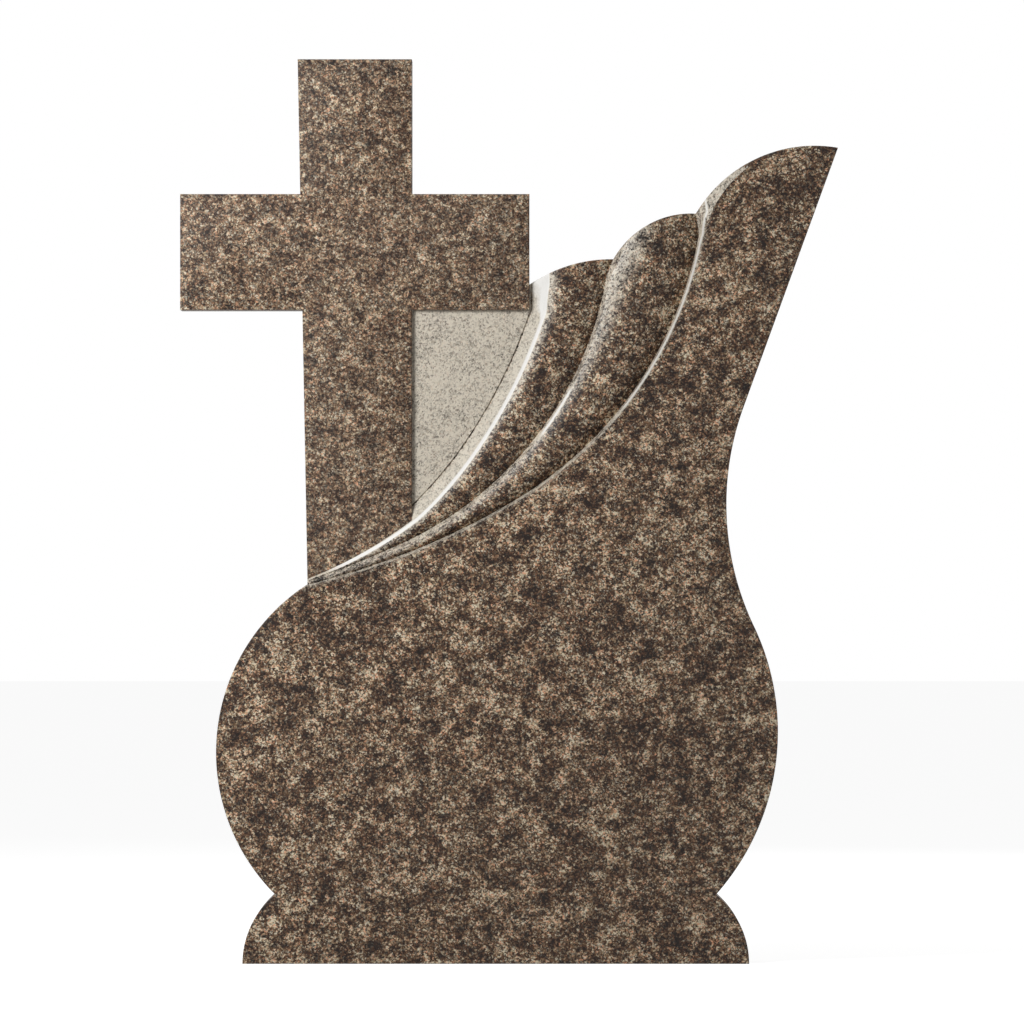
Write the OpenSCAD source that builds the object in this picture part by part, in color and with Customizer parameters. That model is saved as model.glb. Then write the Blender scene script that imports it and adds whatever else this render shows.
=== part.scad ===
// Headstone cut from one slab of granite. A Latin cross stands on the left, a round
// belly rests on a flared foot, and a wing of three overlapping lobes sweeps up from
// the foot of the cross to a tip on the right. The stone faces -Y, and the origin is
// the middle of the foot's underside.
// Outlines are drawn as [across, up], and a level is a depth below the front face.

/* [Slab] */
// Height from the underside to the top of the cross
stone_h = 1100; // [1000:5:1320]
// Thickness from front to back
stone_t = 100; // [80:2:140]

/* [Foot] */
// Width of the foot where it stands
foot_w = 616; // [510:2:740]
// Radius of the foot's rounded ends
foot_r = 109; // [90:1:131]

/* [Belly] */
// How far the belly reaches to the left
belly_left_reach = 340; // [320:1:380]
// Height of the belly's widest point on the left
belly_left_up = 257; // [240:1:310]
// Radius of the belly's left side
belly_left_r = 243.5; // [200:0.5:294]
// How far the belly reaches to the right
belly_right_reach = 343; // [320:1:380]
// Height of the belly's widest point on the right
belly_right_up = 282; // [260:1:320]
// Radius of the belly's right side
belly_right_r = 297.5; // [245:0.5:360]
// Radius of the hollow waist between the belly and the wing
waist_r = 345; // [280:5:420]

/* [Cross] */
// Middle of the cross, left of the middle of the foot
cross_left = 171.5; // [150:0.5:190]
// Width of the shaft at its top
shaft_top_w = 139; // [115:1:168]
// Width of the shaft at the root of the wing
shaft_foot_w = 127; // [105:1:153]
// Span of the arms from end to end
arms_w = 425; // [360:1:440]
// Height of the arms' underside
arms_up = 795; // [760:1:810]
// Depth of the arms from their underside to their top
arms_h = 141; // [118:1:170]
// Level of the polished face of the cross
cross_level = 12; // [10:0.5:15]
// Level of the dressed panel between the cross and the wing
panel_level = 18; // [15:0.5:24]

/* [Wing] */
// Distance of the wing's root, where the shaft meets the belly, to the left of the middle
root_left = 229; // [205:1:240]
// Distance of the wing's tip to the right of the middle
tip_right = 416; // [400:1:440]
// Height of the wing's tip
tip_up = 992; // [970:1:1060]
// Lean of the wing's outer edge from upright, in degrees
wing_lean = 20; // [17:0.5:24]
// Height of the notch between the arm and the first lobe
notch_1_up = 826; // [815:1:850]
// Notch between the first lobe and the second
notch_2 = [143, 857];
// Notch between the second lobe and the third
notch_3 = [243.5, 912.5];
// How far the first lobe's top bows out
lobe_1_bow = 8; // [6:0.5:12]
// How far the second lobe's top bows out
lobe_2_bow = 16; // [12:0.5:22]
// How far the third lobe's top bows out
lobe_3_bow = 29.5; // [22:0.5:34]

/* [Carving] */
// Distance between the lobes' edges where they meet at the root
root_gap = 4; // [3:0.5:5]
// Level of the first lobe's crest
lobe_1_level = 8; // [6:0.5:10]
// Level of the second lobe's crest
lobe_2_level = 4; // [3:0.5:5]
// How far a full-width lobe falls from its crest to its left edge
lobe_rise = 5; // [4:0.5:7]
// How far a full-width lobe falls from its crest to the next lobe's edge
lobe_fall = 13; // [9:0.5:15]
// Width at which a lobe has its full relief
full_lobe_w = 76; // [60:1:92]
// Place of the crest across a lobe, as a share of its width
crest_at = 0.42; // [0.3:0.01:0.6]
// Width of the sloping edge of each lobe, along most of its length
edge_w = [16, 4, 3];
// Width of the sloping edge of each lobe at its top
edge_top_w = [20, 7, 14];
// Heading of each lobe's edge at the root, in degrees above level
edge_start = [24.5, 19, 13.5];
// Radius of the arc that each edge leaves the root on
edge_first_r = [468, 1300, 914];
// Length of that arc
edge_first_len = [250, 120, 270];
// Where each edge meets its lobe's top, from the notch
edge_end = [[3.5, 0], [0, 0], [0, 0]];
// Where each edge's straight end starts, from the notch
edge_turn = [[4, -30], [-8, -20], [4, -25]];
// Width of the facet at the tip of each lobe
facet_w = [10, 14, 17];
// Share of a lobe's top that its facet follows
facet_run = [0.6, 0.62, 0.72];

/* [Hidden] */

ARC_STEP = 2.5; // largest turn of an arc between two points, in degrees
ROWS = 40; // rows of the carved surface, from the root to the notches
ROW_CROWDING = 1.4; // above 1, the rows stand closer together towards the notches
ACROSS = 8; // strips across each lobe
TIP_ROWS = 10; // rows along each lobe's facet
OVERRUN = 46; // how far the carved surface runs on past the notches
RUN_IN = 7; // how far it starts before the root
FLARE = 40; // length over which a lobe's edge widens to its top
TAPER = 150; // length over which a lobe's edge reaches its full width
PROUD = 5; // how far cutters stand clear of the stone
FACET_SLOPE = 0.8; // fall of a tip's facet for each unit of its width
FACET_POWER = 1.3; // above 1, a facet narrows faster near the notch
ROOT_SLOPE = 0.6; // width of an edge's slope at the root, as a share of root_gap
RISE_POWER = 2.2; // roundness of a lobe's left shoulder
FALL_POWER = 1.7; // roundness of a lobe's right side

cross_x = -cross_left;
shaft_top = [cross_x - shaft_top_w / 2, stone_h];
arm_end_x = cross_x + arms_w / 2;
notch_1 = [arm_end_x, notch_1_up];
left_c = [belly_left_r - belly_left_reach, belly_left_up];
right_c = [belly_right_reach - belly_right_r, belly_right_up];
tip = [tip_right, tip_up];
root = [-root_left, left_c.y + sqrt(pow(belly_left_r, 2) - pow(root_left + left_c.x, 2))];

// Points and arcs

function polar(c, r, a) = c + r * [cos(a), sin(a)];
function bearing(c, p) = atan2(p.y - c.y, p.x - c.x);
function arc(c, r, a0, a1) =
    let (n = max(2, ceil(abs(a1 - a0) / ARC_STEP)))
    [for (i = [0:n]) polar(c, r, a0 + (a1 - a0) * i / n)];

// Where two circles meet, on the left (+1) or right (-1) of the line between centres
function meet(c1, r1, c2, r2, side) =
    let (
        d = norm(c2 - c1),
        u = (c2 - c1) / d,
        along = (r1 * r1 - r2 * r2 + d * d) / (2 * d)
    )
    c1 + along * u + side * sqrt(r1 * r1 - along * along) * [-u.y, u.x];

// Centre and radius of the arc that leaves chord p-q by `bow` on its right-hand side
function bow_circle(p, q, bow) =
    let (
        half = norm(q - p) / 2,
        r = (half * half + bow * bow) / (2 * bow),
        u = (q - p) / (2 * half)
    )
    [(p + q) / 2 + (r - bow) * [-u.y, u.x], r];
function bow_arc(p, q, bow) =
    let (k = bow_circle(p, q, bow), a = bearing(k[0], p), b = bearing(k[0], q))
    arc(k[0], k[1], a, b < a ? b + 360 : b);

// Point at a given height on the left side of the shaft
function shaft_left(up) = root + (shaft_top - root) * (up - root.y) / (stone_h - root.y);

// Outline of the belly, the foot and the wing, with the cross left out

function foot_c(side) = [side * (foot_w / 2 - foot_r), 0];
foot_notch_r = meet(foot_c(1), foot_r, right_c, belly_right_r, -1);
foot_notch_l = meet(foot_c(-1), foot_r, left_c, belly_left_r, 1);

// The waist touches the belly's circle and the wing's straight outer edge
edge_dir = [sin(wing_lean), cos(wing_lean)];
edge_out = [edge_dir.y, -edge_dir.x];
waist_far = (tip - right_c) * edge_out + waist_r;
waist_c = right_c + waist_far * edge_out
    + sqrt(pow(belly_right_r + waist_r, 2) - pow(waist_far, 2)) * edge_dir;

belly_arc = arc(
    right_c, belly_right_r, bearing(right_c, foot_notch_r), bearing(right_c, waist_c)
);
waist_arc = arc(waist_c, waist_r, bearing(waist_c, right_c) + 360, 180 - wing_lean);
left_arc = arc(
    left_c, belly_left_r, bearing(left_c, root), bearing(left_c, foot_notch_l) + 360
);

module slab_outline() {
    polygon(concat(
        arc(foot_c(1), foot_r, 0, bearing(foot_c(1), foot_notch_r)),
        belly_arc,
        waist_arc,
        bow_arc(tip, notch_3, lobe_3_bow),
        bow_arc(notch_3, notch_2, lobe_2_bow),
        bow_arc(notch_2, notch_1, lobe_1_bow),
        [[arm_end_x, arms_up + arms_h / 2]],
        [shaft_left(arms_up + arms_h / 2)],
        left_arc,
        arc(foot_c(-1), foot_r, bearing(foot_c(-1), foot_notch_l), 180)
    ));
}

// The shaft narrows evenly down to the root, and its end is hidden in the belly
module cross_outline() {
    hidden = [shaft_foot_w / 2, -shaft_foot_w / 2];
    polygon([
        shaft_top,
        root,
        root + hidden,
        root + [shaft_foot_w, 0],
        shaft_top + [shaft_top_w, 0],
    ]);
    translate([cross_x - arms_w / 2, arms_up])
        square([arms_w, arms_h]);
}

// Edges of the lobes. Each leaves its root on an arc, bends on into a tighter one that
// ends at its turn, and runs straight from there to its lobe's top:
// [start, heading, first radius, first length, turn, end]
NOTCHES = [notch_1, notch_2, notch_3];
EDGES = [for (k = [0:2]) [
    root + [0, (2 - k) * root_gap],
    edge_start[k],
    edge_first_r[k],
    edge_first_len[k],
    NOTCHES[k] + edge_turn[k],
    NOTCHES[k] + edge_end[k]
]];

function leftward(h) = [-sin(h), cos(h)];
function arc_to(p, h, r, d) =
    let (c = p + r * leftward(h))
    c - r * leftward(h + d / r * 180 / PI);

function joint_of(e) = arc_to(e[0], e[1], e[2], e[3]);
function joint_heading(e) = e[1] + e[3] / e[2] * 180 / PI;
// Radius of the arc that leaves the joint along its heading and ends at the turn
function second_r(e) =
    let (v = e[4] - joint_of(e))
    (v * v) / (2 * (v * leftward(joint_heading(e))));
function second_turn(e) =
    let (v = e[4] - joint_of(e))
    2 * (atan2(v.y, v.x) - joint_heading(e));
function second_len(e) = second_r(e) * second_turn(e) * PI / 180;
function straight_len(e) = norm(e[5] - e[4]);
function edge_len(e) = e[3] + second_len(e) + straight_len(e);

function edge_heading(e, d) =
    d < e[3] ? e[1] + d / e[2] * 180 / PI
    : d < e[3] + second_len(e)
        ? joint_heading(e) + (d - e[3]) / second_r(e) * 180 / PI
    : bearing(e[4], e[5]);
function edge_point(e, d) =
    d < e[3] ? arc_to(e[0], e[1], e[2], d)
    : d < e[3] + second_len(e)
        ? arc_to(joint_of(e), joint_heading(e), second_r(e), d - e[3])
    : e[4] + (d - e[3] - second_len(e)) * (e[5] - e[4]) / straight_len(e);

// Width of an edge's slope: it grows from the root, and flares below the notch
function slope_w(k, d) =
    let (
        short_of_end = edge_len(EDGES[k]) - d,
        grown = min(1, max(0, d) / TAPER),
        flare = max(0, 1 - max(0, short_of_end) / FLARE)
    )
    root_gap * ROOT_SLOPE * (1 - grown) + edge_w[k] * grown
        + (edge_top_w[k] - edge_w[k]) * pow(flare, 2);

// Height of a lobe's surface above the front face, at share u of its width w
function lobe_z(level, u, w) =
    let (
        relief = w / full_lobe_w,
        left = pow(max(0, (crest_at - u) / crest_at), RISE_POWER),
        right = pow(max(0, (u - crest_at) / (1 - crest_at)), FALL_POWER)
    )
    -level - relief * (lobe_rise * left + lobe_fall * right);

// One lobe's points from its shoulder to the next edge's foot
function lobe_strip(level, from, to) =
    let (w = norm(to - from))
    [for (j = [0:ACROSS])
        let (u = j / ACROSS, p = from + u * (to - from))
        [p.x, p.y, lobe_z(level, u, w)]];

// One row of the carved surface, from the first lobe's foot to clear of the front face
function carved_row(s) =
    let (
        d = [for (e = EDGES) -RUN_IN + s * (edge_len(e) + RUN_IN + OVERRUN)],
        foot = [for (k = [0:2]) edge_point(EDGES[k], d[k])],
        top = [for (k = [0:2])
            foot[k] - slope_w(k, d[k]) * leftward(edge_heading(EDGES[k], d[k]))],
        first = lobe_strip(lobe_1_level, top[0], foot[1]),
        second = lobe_strip(lobe_2_level, top[1], foot[2]),
        sill = second[ACROSS].z,
        clear = top[2] + (top[2] - foot[2]) * PROUD / -sill
    )
    concat(
        [[foot[0].x, foot[0].y, -panel_level]],
        first,
        second,
        [[top[2].x, top[2].y, 0]],
        [[clear.x, clear.y, PROUD]]
    );

// Everything in front of the carved surface, as one closed block. The panel's floor
// takes in all that lies left of the first lobe's foot, and the lid closes the front.
module carving_waste() {
    rows = [for (i = [0:ROWS]) carved_row(1 - pow(1 - i / ROWS, ROW_CROWDING))];
    n = len(rows[0]);
    last = ROWS * n;
    far = [
        [rows[ROWS][0].x, stone_h + PROUD],
        [cross_x - arms_w, stone_h + PROUD],
        [cross_x - arms_w, rows[0][0].y],
    ];
    front = [for (r = rows) for (p = r) p];
    floor_far = [for (p = far) [p.x, p.y, -panel_level]];
    lid_far = [for (p = far) [p.x, p.y, PROUD]];
    lid_start = [for (j = [0:n - 2]) [rows[0][j].x, rows[0][j].y, PROUD]];
    lid_end = [for (j = [0:n - 2]) [rows[ROWS][j].x, rows[ROWS][j].y, PROUD]];
    points = concat(front, floor_far, lid_far, lid_start, lid_end);
    f0 = len(front);
    l0 = f0 + len(far);
    s0 = l0 + len(far);
    e0 = s0 + n - 1;
    floor_rim = concat([for (i = [0:ROWS]) i * n], [f0, f0 + 1, f0 + 2]);
    start_rim = concat([for (j = [0:n - 2]) s0 + j], [for (j = [n - 1:-1:0]) j]);
    end_rim = concat([for (j = [n - 2:-1:0]) e0 + j], [for (j = [0:n - 1]) last + j]);
    lid_rim = concat(
        [for (j = [0:n - 2]) e0 + j],
        [for (i = [ROWS:-1:0]) i * n + n - 1],
        [for (j = [n - 2:-1:0]) s0 + j],
        [l0 + 2, l0 + 1, l0]
    );
    quads = [for (i = [0:ROWS - 1]) for (j = [0:n - 2])
        let (a = i * n + j, b = a + n) each [[a, a + 1, b], [a + 1, b + 1, b]]];
    polyhedron(points, concat(quads, [
        floor_rim,
        start_rim,
        end_rim,
        lid_rim,
        [e0, l0, f0, last],
        [l0, l0 + 1, f0 + 1, f0],
        [l0 + 1, l0 + 2, f0 + 2, f0 + 1],
        [l0 + 2, s0, 0, f0 + 2],
    ]));
}

// Waste of the facet that rounds the left end of a lobe's top. It is widest at the
// lobe's left notch and runs out of the stone along the top.
module facet_waste(left, right, bow, level, w, run) {
    k = bow_circle(right, left, bow);
    a0 = bearing(k[0], left);
    a1 = bearing(k[0], right);
    function section(f) =
        let (
            a = a0 + (a1 - a0) * run * f,
            now_w = w * pow(1 - f, FACET_POWER) - f,
            out = polar(k[0], k[1] + PROUD, a),
            in = polar(k[0], k[1] - now_w - (PROUD + level) / FACET_SLOPE, a),
            low = -level - (now_w + PROUD) * FACET_SLOPE
        )
        [[out.x, out.y, low], [in.x, in.y, PROUD], [out.x, out.y, PROUD]];
    rows = [for (i = [0:TIP_ROWS]) section(i / TIP_ROWS)];
    last = 3 * TIP_ROWS;
    polyhedron([for (r = rows) for (p = r) p], concat(
        [[2, 1, 0], [last, last + 1, last + 2]],
        [for (i = [0:TIP_ROWS - 1]) for (j = [0:2])
            let (a = 3 * i + j, b = 3 * i + (j + 1) % 3)
            each [[a, b, a + 3], [b, b + 3, a + 3]]]
    ));
}

// Stands work drawn as [across, up, towards the viewer] upright, with its front at -Y
module upright() {
    rotate([90, 0, 0])
        translate([0, 0, stone_t / 2])
            children();
}

module headstone() color("rosybrown") upright() {
    difference() {
        translate([0, 0, -stone_t])
            linear_extrude(stone_t)
                slab_outline();
        carving_waste();
        facet_waste(notch_1, notch_2, lobe_1_bow, lobe_1_level, facet_w[0], facet_run[0]);
        facet_waste(notch_2, notch_3, lobe_2_bow, lobe_2_level, facet_w[1], facet_run[1]);
        facet_waste(notch_3, tip, lobe_3_bow, 0, facet_w[2], facet_run[2]);
    }
    translate([0, 0, -stone_t])
        linear_extrude(stone_t - cross_level)
            cross_outline();
}

headstone();
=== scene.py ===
"""Looks of a granite headstone: a Latin cross, a round belly and a carved wing of three lobes.

The stone is one carved piece. Its front is drawn in plan as (across, up), with a level that is
negative below the front face, and stands up facing -Y. Lengths are in metres.
"""

import logging
import math
from collections.abc import Callable
from dataclasses import dataclass, field
from enum import IntEnum

import bpy
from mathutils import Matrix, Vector, geometry, noise
from mathutils.bvhtree import BVHTree

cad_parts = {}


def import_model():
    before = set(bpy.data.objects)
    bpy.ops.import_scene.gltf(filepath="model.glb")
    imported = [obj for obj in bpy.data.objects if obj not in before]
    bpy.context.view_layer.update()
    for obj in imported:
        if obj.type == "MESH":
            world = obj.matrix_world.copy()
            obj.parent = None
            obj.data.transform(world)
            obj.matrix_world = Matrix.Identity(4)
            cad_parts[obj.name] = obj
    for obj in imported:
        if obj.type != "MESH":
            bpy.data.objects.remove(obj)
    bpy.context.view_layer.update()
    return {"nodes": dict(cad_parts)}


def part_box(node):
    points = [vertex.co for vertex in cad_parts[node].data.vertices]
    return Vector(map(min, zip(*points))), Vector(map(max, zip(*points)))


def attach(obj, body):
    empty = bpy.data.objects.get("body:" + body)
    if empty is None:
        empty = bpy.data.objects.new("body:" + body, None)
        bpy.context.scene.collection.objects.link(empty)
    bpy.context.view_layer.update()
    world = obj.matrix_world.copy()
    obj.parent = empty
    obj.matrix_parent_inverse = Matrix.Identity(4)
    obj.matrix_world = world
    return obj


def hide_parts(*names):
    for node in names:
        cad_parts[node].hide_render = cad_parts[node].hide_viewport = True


log = logging.getLogger("headstone")

Plan = Vector
Path = list[Vector]
Size = tuple[float, float]
Three = tuple[float, float, float]
Colour = tuple[float, float, float, float]
Socket = bpy.types.NodeSocket
Tree = bpy.types.NodeTree

TINY = 1e-9  # a shorter length has no direction
JOIN = 1e-4  # closer points of the outline are one
MITRE_LIMIT = 0.35  # keeps the mitre of a sharp corner short
SLACK = 1e-6  # what rounding may put a level or a share off by
DIGITS = 6  # decimals that a place in plan is kept to
MICROMETRES = 1e6  # in a metre
DOWN = Vector((0, 0, -1))
NUDGES = ((0, 0), (2e-6, 1e-6), (-2e-6, 1e-6), (1e-6, -2e-6))  # tries that miss a seam of the surface


class Finish(IntEnum):
    """Finishes of the stone, in the order of its material slots."""

    POLISHED = 0
    DRESSED = 1
    PECKED = 2
    HONED = 3
    SAWN = 4
    SATIN = 5


# Plan geometry


def polar(centre: Plan, radius: float, angle: float) -> Plan:
    """Point at an angle on a circle."""
    return centre + radius * Vector((math.cos(angle), math.sin(angle)))


def bearing(start: Plan, end: Plan) -> float:
    """Angle of the line from start to end."""
    return math.atan2(end.y - start.y, end.x - start.x)


def leftward(heading: float) -> Plan:
    """Unit vector to the left of a heading."""
    return Vector((-math.sin(heading), math.cos(heading)))


def mix(start: float, end: float, share: float) -> float:
    """Value at a share of the way from start to end."""
    return start + (end - start) * share


def arc(centre: Plan, radius: float, first: float, last: float, spacing: float) -> Path:
    """Points along an arc.

    Args:
        centre: centre of the circle.
        radius: its radius.
        first: angle of the first point.
        last: angle of the last point.
        spacing: largest distance between two points.

    Returns:
        The points, both ends included.
    """
    count = max(2, math.ceil(abs(last - first) * radius / spacing))
    return [polar(centre, radius, mix(first, last, i / count)) for i in range(count + 1)]


def straight(points: Path, spacing: float) -> Path:
    """Points along the straight lines that join the given corners.

    Args:
        points: the corners, in order.
        spacing: largest distance between two points.

    Returns:
        The corners with even points between them.
    """
    path = [points[0]]
    for start, end in zip(points, points[1:]):
        count = max(1, math.ceil((end - start).length / spacing))
        path += [start.lerp(end, i / count) for i in range(1, count + 1)]
    return path


def meet(c1: Plan, r1: float, c2: Plan, r2: float, side: int) -> Plan:
    """Where two circles meet.

    Args:
        c1: centre of the first circle.
        r1: its radius.
        c2: centre of the second circle.
        r2: its radius.
        side: +1 for the left of the line from c1 to c2, -1 for the right.

    Returns:
        The meeting point.
    """
    gap = (c2 - c1).length
    ahead = (c2 - c1) / gap
    along = (r1 * r1 - r2 * r2 + gap * gap) / (2 * gap)
    return c1 + along * ahead + side * math.sqrt(r1 * r1 - along * along) * Vector((-ahead.y, ahead.x))


def inset(path: Path, depth: float, closed: bool) -> Path:
    """The path moved to its left, corners mitred.

    Args:
        path: the points.
        depth: distance to move.
        closed: whether the last point joins the first.

    Returns:
        One moved point for each point.
    """
    moved = []
    count = len(path)
    for i, here in enumerate(path):
        before = path[i - 1] if closed or i else here
        after = path[(i + 1) % count] if closed or i < count - 1 else here
        sides = []
        for start, end in ((before, here), (here, after)):
            if (end - start).length > TINY:
                sides.append(leftward(bearing(start, end)))
        normal = sum(sides, Vector((0, 0)))
        stretch = normal.length_squared / len(sides)
        moved.append(here + normal * depth / max(stretch, MITRE_LIMIT))
    return moved


def line_tree(path: Path) -> BVHTree:
    """Tree that tells how far a place is from a path.

    Args:
        path: the points.

    Returns:
        The tree.
    """
    points = [p.to_3d() + side for p in path for side in (DOWN, -DOWN)]
    faces = [(2 * i, 2 * i + 1, 2 * i + 3, 2 * i + 2) for i in range(len(path) - 1)]
    return BVHTree.FromPolygons(points, faces)


def smooth(low: float, high: float, value: float) -> float:
    """Smooth step from 0 at low to 1 at high."""
    share = min(1.0, max(0.0, (value - low) / (high - low)))
    return share * share * (3 - 2 * share)


def rounded(away: float, radius: float) -> float:
    """Drop of a rounded arris at a distance from the edge that it rounds."""
    left = max(0.0, radius - away)
    return radius - math.sqrt(max(0.0, radius * radius - left * left))


@dataclass(frozen=True)
class Bow:
    """Rounded top of a lobe, from its right end to its left end.

    Args:
        right: where it starts.
        left: where it ends.
        bow: how far it leaves the straight line.
    """

    right: Plan
    left: Plan
    bow: float

    @property
    def radius(self) -> float:
        """Radius of the arc."""
        half = (self.left - self.right).length / 2
        return (half * half + self.bow * self.bow) / (2 * self.bow)

    @property
    def centre(self) -> Plan:
        """Centre of the arc."""
        ahead = (self.left - self.right).normalized()
        return (self.right + self.left) / 2 + (self.radius - self.bow) * Vector((-ahead.y, ahead.x))

    def path(self, spacing: float) -> Path:
        """Points along the arc from right to left."""
        first, last = bearing(self.centre, self.right), bearing(self.centre, self.left)
        return arc(self.centre, self.radius, first, last + (math.tau if last < first else 0), spacing)


@dataclass(frozen=True)
class Edge:
    """Foot of a lobe's sloping edge: two arcs and a straight end that runs to a notch.

    Args:
        root: where it starts.
        heading: its direction there.
        first_r: radius of the first arc.
        first_len: length of the first arc.
        turn: where the second arc ends.
        notch: where the straight end meets the outline.
        width: width of the slope along most of its length.
        top_width: width of the slope at its top.
    """

    root: Plan
    heading: float
    first_r: float
    first_len: float
    turn: Plan
    notch: Plan
    width: float
    top_width: float

    def arc_end(self, length: float) -> Plan:
        """Point of the first arc at a length from its start."""
        centre = self.root + self.first_r * leftward(self.heading)
        return centre - self.first_r * leftward(self.heading + length / self.first_r)

    @property
    def joint(self) -> Plan:
        """Point where the arcs join."""
        return self.arc_end(self.first_len)

    @property
    def joint_heading(self) -> float:
        """Direction where the arcs join."""
        return self.heading + self.first_len / self.first_r

    @property
    def second_r(self) -> float:
        """Radius of the arc that leaves the joint straight on and ends at the turn."""
        chord = self.turn - self.joint
        return chord.length_squared / (2 * chord.dot(leftward(self.joint_heading)))

    @property
    def second_len(self) -> float:
        """Length of the second arc."""
        return 2 * (bearing(self.joint, self.turn) - self.joint_heading) * self.second_r

    @property
    def length(self) -> float:
        """Length from the root to the notch."""
        return self.first_len + self.second_len + (self.notch - self.turn).length

    def at(self, along: float) -> tuple[Plan, float]:
        """Point and heading on the edge.

        Args:
            along: length from the root.

        Returns:
            The point and the heading there.
        """
        if along < self.first_len:
            return self.arc_end(along), self.heading + along / self.first_r
        past = along - self.first_len
        if past < self.second_len:
            heading = self.joint_heading + past / self.second_r
            centre = self.joint + self.second_r * leftward(self.joint_heading)
            return centre - self.second_r * leftward(heading), heading
        heading = bearing(self.turn, self.notch)
        ahead = (self.notch - self.turn).normalized()
        return self.turn + (past - self.second_len) * ahead, heading


# The carved stone


@dataclass
class Outline:
    """Outline of the stone: foot, belly, waist, wing and cross.

    Sizes are for a stone of the height given, with the middle of its underside at the origin.
    """

    stone_h: float = 1.1
    foot_w: float = 0.616
    foot_r: float = 0.109
    belly_left_reach: float = 0.340
    belly_left_up: float = 0.257
    belly_left_r: float = 0.2435
    belly_right_reach: float = 0.343
    belly_right_up: float = 0.282
    belly_right_r: float = 0.2975
    waist_r: float = 0.345
    cross_left: float = 0.1715
    shaft_top_w: float = 0.139
    shaft_foot_w: float = 0.127
    arms_w: float = 0.425
    arms_up: float = 0.795
    arms_h: float = 0.141
    root_left: float = 0.229
    tip: Plan = field(default_factory=lambda: Vector((0.416, 0.992)))
    wing_lean: float = math.radians(20)
    notch_1: Plan = field(default_factory=lambda: Vector((0.041, 0.826)))
    notch_2: Plan = field(default_factory=lambda: Vector((0.143, 0.857)))
    notch_3: Plan = field(default_factory=lambda: Vector((0.2435, 0.9125)))
    bows: Three = (0.008, 0.016, 0.0295)
    spacing: float = 0.003

    def __post_init__(self) -> None:
        """Works out the corners of the cross and the root of the wing."""
        self.cross_x = -self.cross_left
        self.left_c = Vector((self.belly_left_r - self.belly_left_reach, self.belly_left_up))
        self.right_c = Vector((self.belly_right_reach - self.belly_right_r, self.belly_right_up))
        rise = math.sqrt(self.belly_left_r**2 - (self.root_left + self.left_c.x) ** 2)
        self.root = Vector((-self.root_left, self.left_c.y + rise))
        self.top_left = Vector((self.cross_x - self.shaft_top_w / 2, self.stone_h))
        self.top_right = self.top_left + Vector((self.shaft_top_w, 0))
        self.foot_right = self.root + Vector((self.shaft_foot_w, 0))
        self.arm_end_x = self.cross_x + self.arms_w / 2
        self.arms_top = self.arms_up + self.arms_h
        self.lobe_tops = [
            Bow(self.notch_2, Vector((self.arm_end_x, self.notch_1.y)), self.bows[0]),
            Bow(self.notch_3, self.notch_2, self.bows[1]),
            Bow(self.tip, self.notch_3, self.bows[2]),
        ]

    def shaft_side(self, top: Plan, foot: Plan, up: float) -> Plan:
        """Point of a side of the shaft at a height."""
        return foot.lerp(top, (up - self.root.y) / (self.stone_h - self.root.y))

    def cross(self) -> Path:
        """Corners of the cross that stand in the outline, from the right arm to the root.

        Returns:
            The corners.
        """
        right = self.shaft_side(self.top_right, self.foot_right, self.arms_top)
        left_high = self.shaft_side(self.top_left, self.root, self.arms_top)
        left_low = self.shaft_side(self.top_left, self.root, self.arms_up)
        arm_left_x = self.cross_x - self.arms_w / 2
        return [
            Vector((self.arm_end_x, self.notch_1.y)),
            Vector((self.arm_end_x, self.arms_top)),
            right,
            self.top_right,
            self.top_left,
            left_high,
            Vector((arm_left_x, self.arms_top)),
            Vector((arm_left_x, self.arms_up)),
            left_low,
            self.root,
        ]

    def cross_inner(self) -> Path:
        """Corners of the cross that stand above the panel, from the root to the right arm.

        Returns:
            The corners.
        """
        return [
            self.foot_right,
            self.shaft_side(self.top_right, self.foot_right, self.arms_up),
            Vector((self.arm_end_x, self.arms_up)),
            Vector((self.arm_end_x, self.notch_1.y)),
        ]

    def closed(self) -> Path:
        """The whole outline, counter-clockwise from the right end of the foot.

        Returns:
            Its points, without the first again at the end.
        """
        foot_right = Vector((self.foot_w / 2 - self.foot_r, 0))
        foot_left = Vector((-foot_right.x, 0))
        notch_right = meet(foot_right, self.foot_r, self.right_c, self.belly_right_r, -1)
        notch_left = meet(foot_left, self.foot_r, self.left_c, self.belly_left_r, 1)
        ahead = Vector((math.sin(self.wing_lean), math.cos(self.wing_lean)))
        out = Vector((ahead.y, -ahead.x))
        far = (self.tip - self.right_c).dot(out) + self.waist_r
        up = math.sqrt((self.belly_right_r + self.waist_r) ** 2 - far * far)
        waist_c = self.right_c + far * out + up * ahead
        touch = bearing(self.right_c, waist_c)
        root, low = bearing(self.left_c, self.root), bearing(self.left_c, notch_left) + math.tau
        step, reach = self.spacing, Vector((self.foot_r, 0))
        pieces = [
            arc(foot_right, self.foot_r, 0, bearing(foot_right, notch_right), step),
            arc(self.right_c, self.belly_right_r, bearing(self.right_c, notch_right), touch, step),
            arc(waist_c, self.waist_r, touch + math.pi, math.pi - self.wing_lean, step),
            straight([waist_c - self.waist_r * out, self.tip], step),
            *(top.path(step) for top in reversed(self.lobe_tops)),
            straight(self.cross(), step),
            arc(self.left_c, self.belly_left_r, root, low, step),
            arc(foot_left, self.foot_r, bearing(foot_left, notch_left), math.pi, step),
            straight([foot_left - reach, foot_right + reach], step),
        ]
        path: Path = []
        for piece in pieces:
            for point in piece:
                if not path or (point - path[-1]).length > JOIN:
                    path.append(point)
        if (path[0] - path[-1]).length < JOIN:
            path.pop()
        return path


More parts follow.
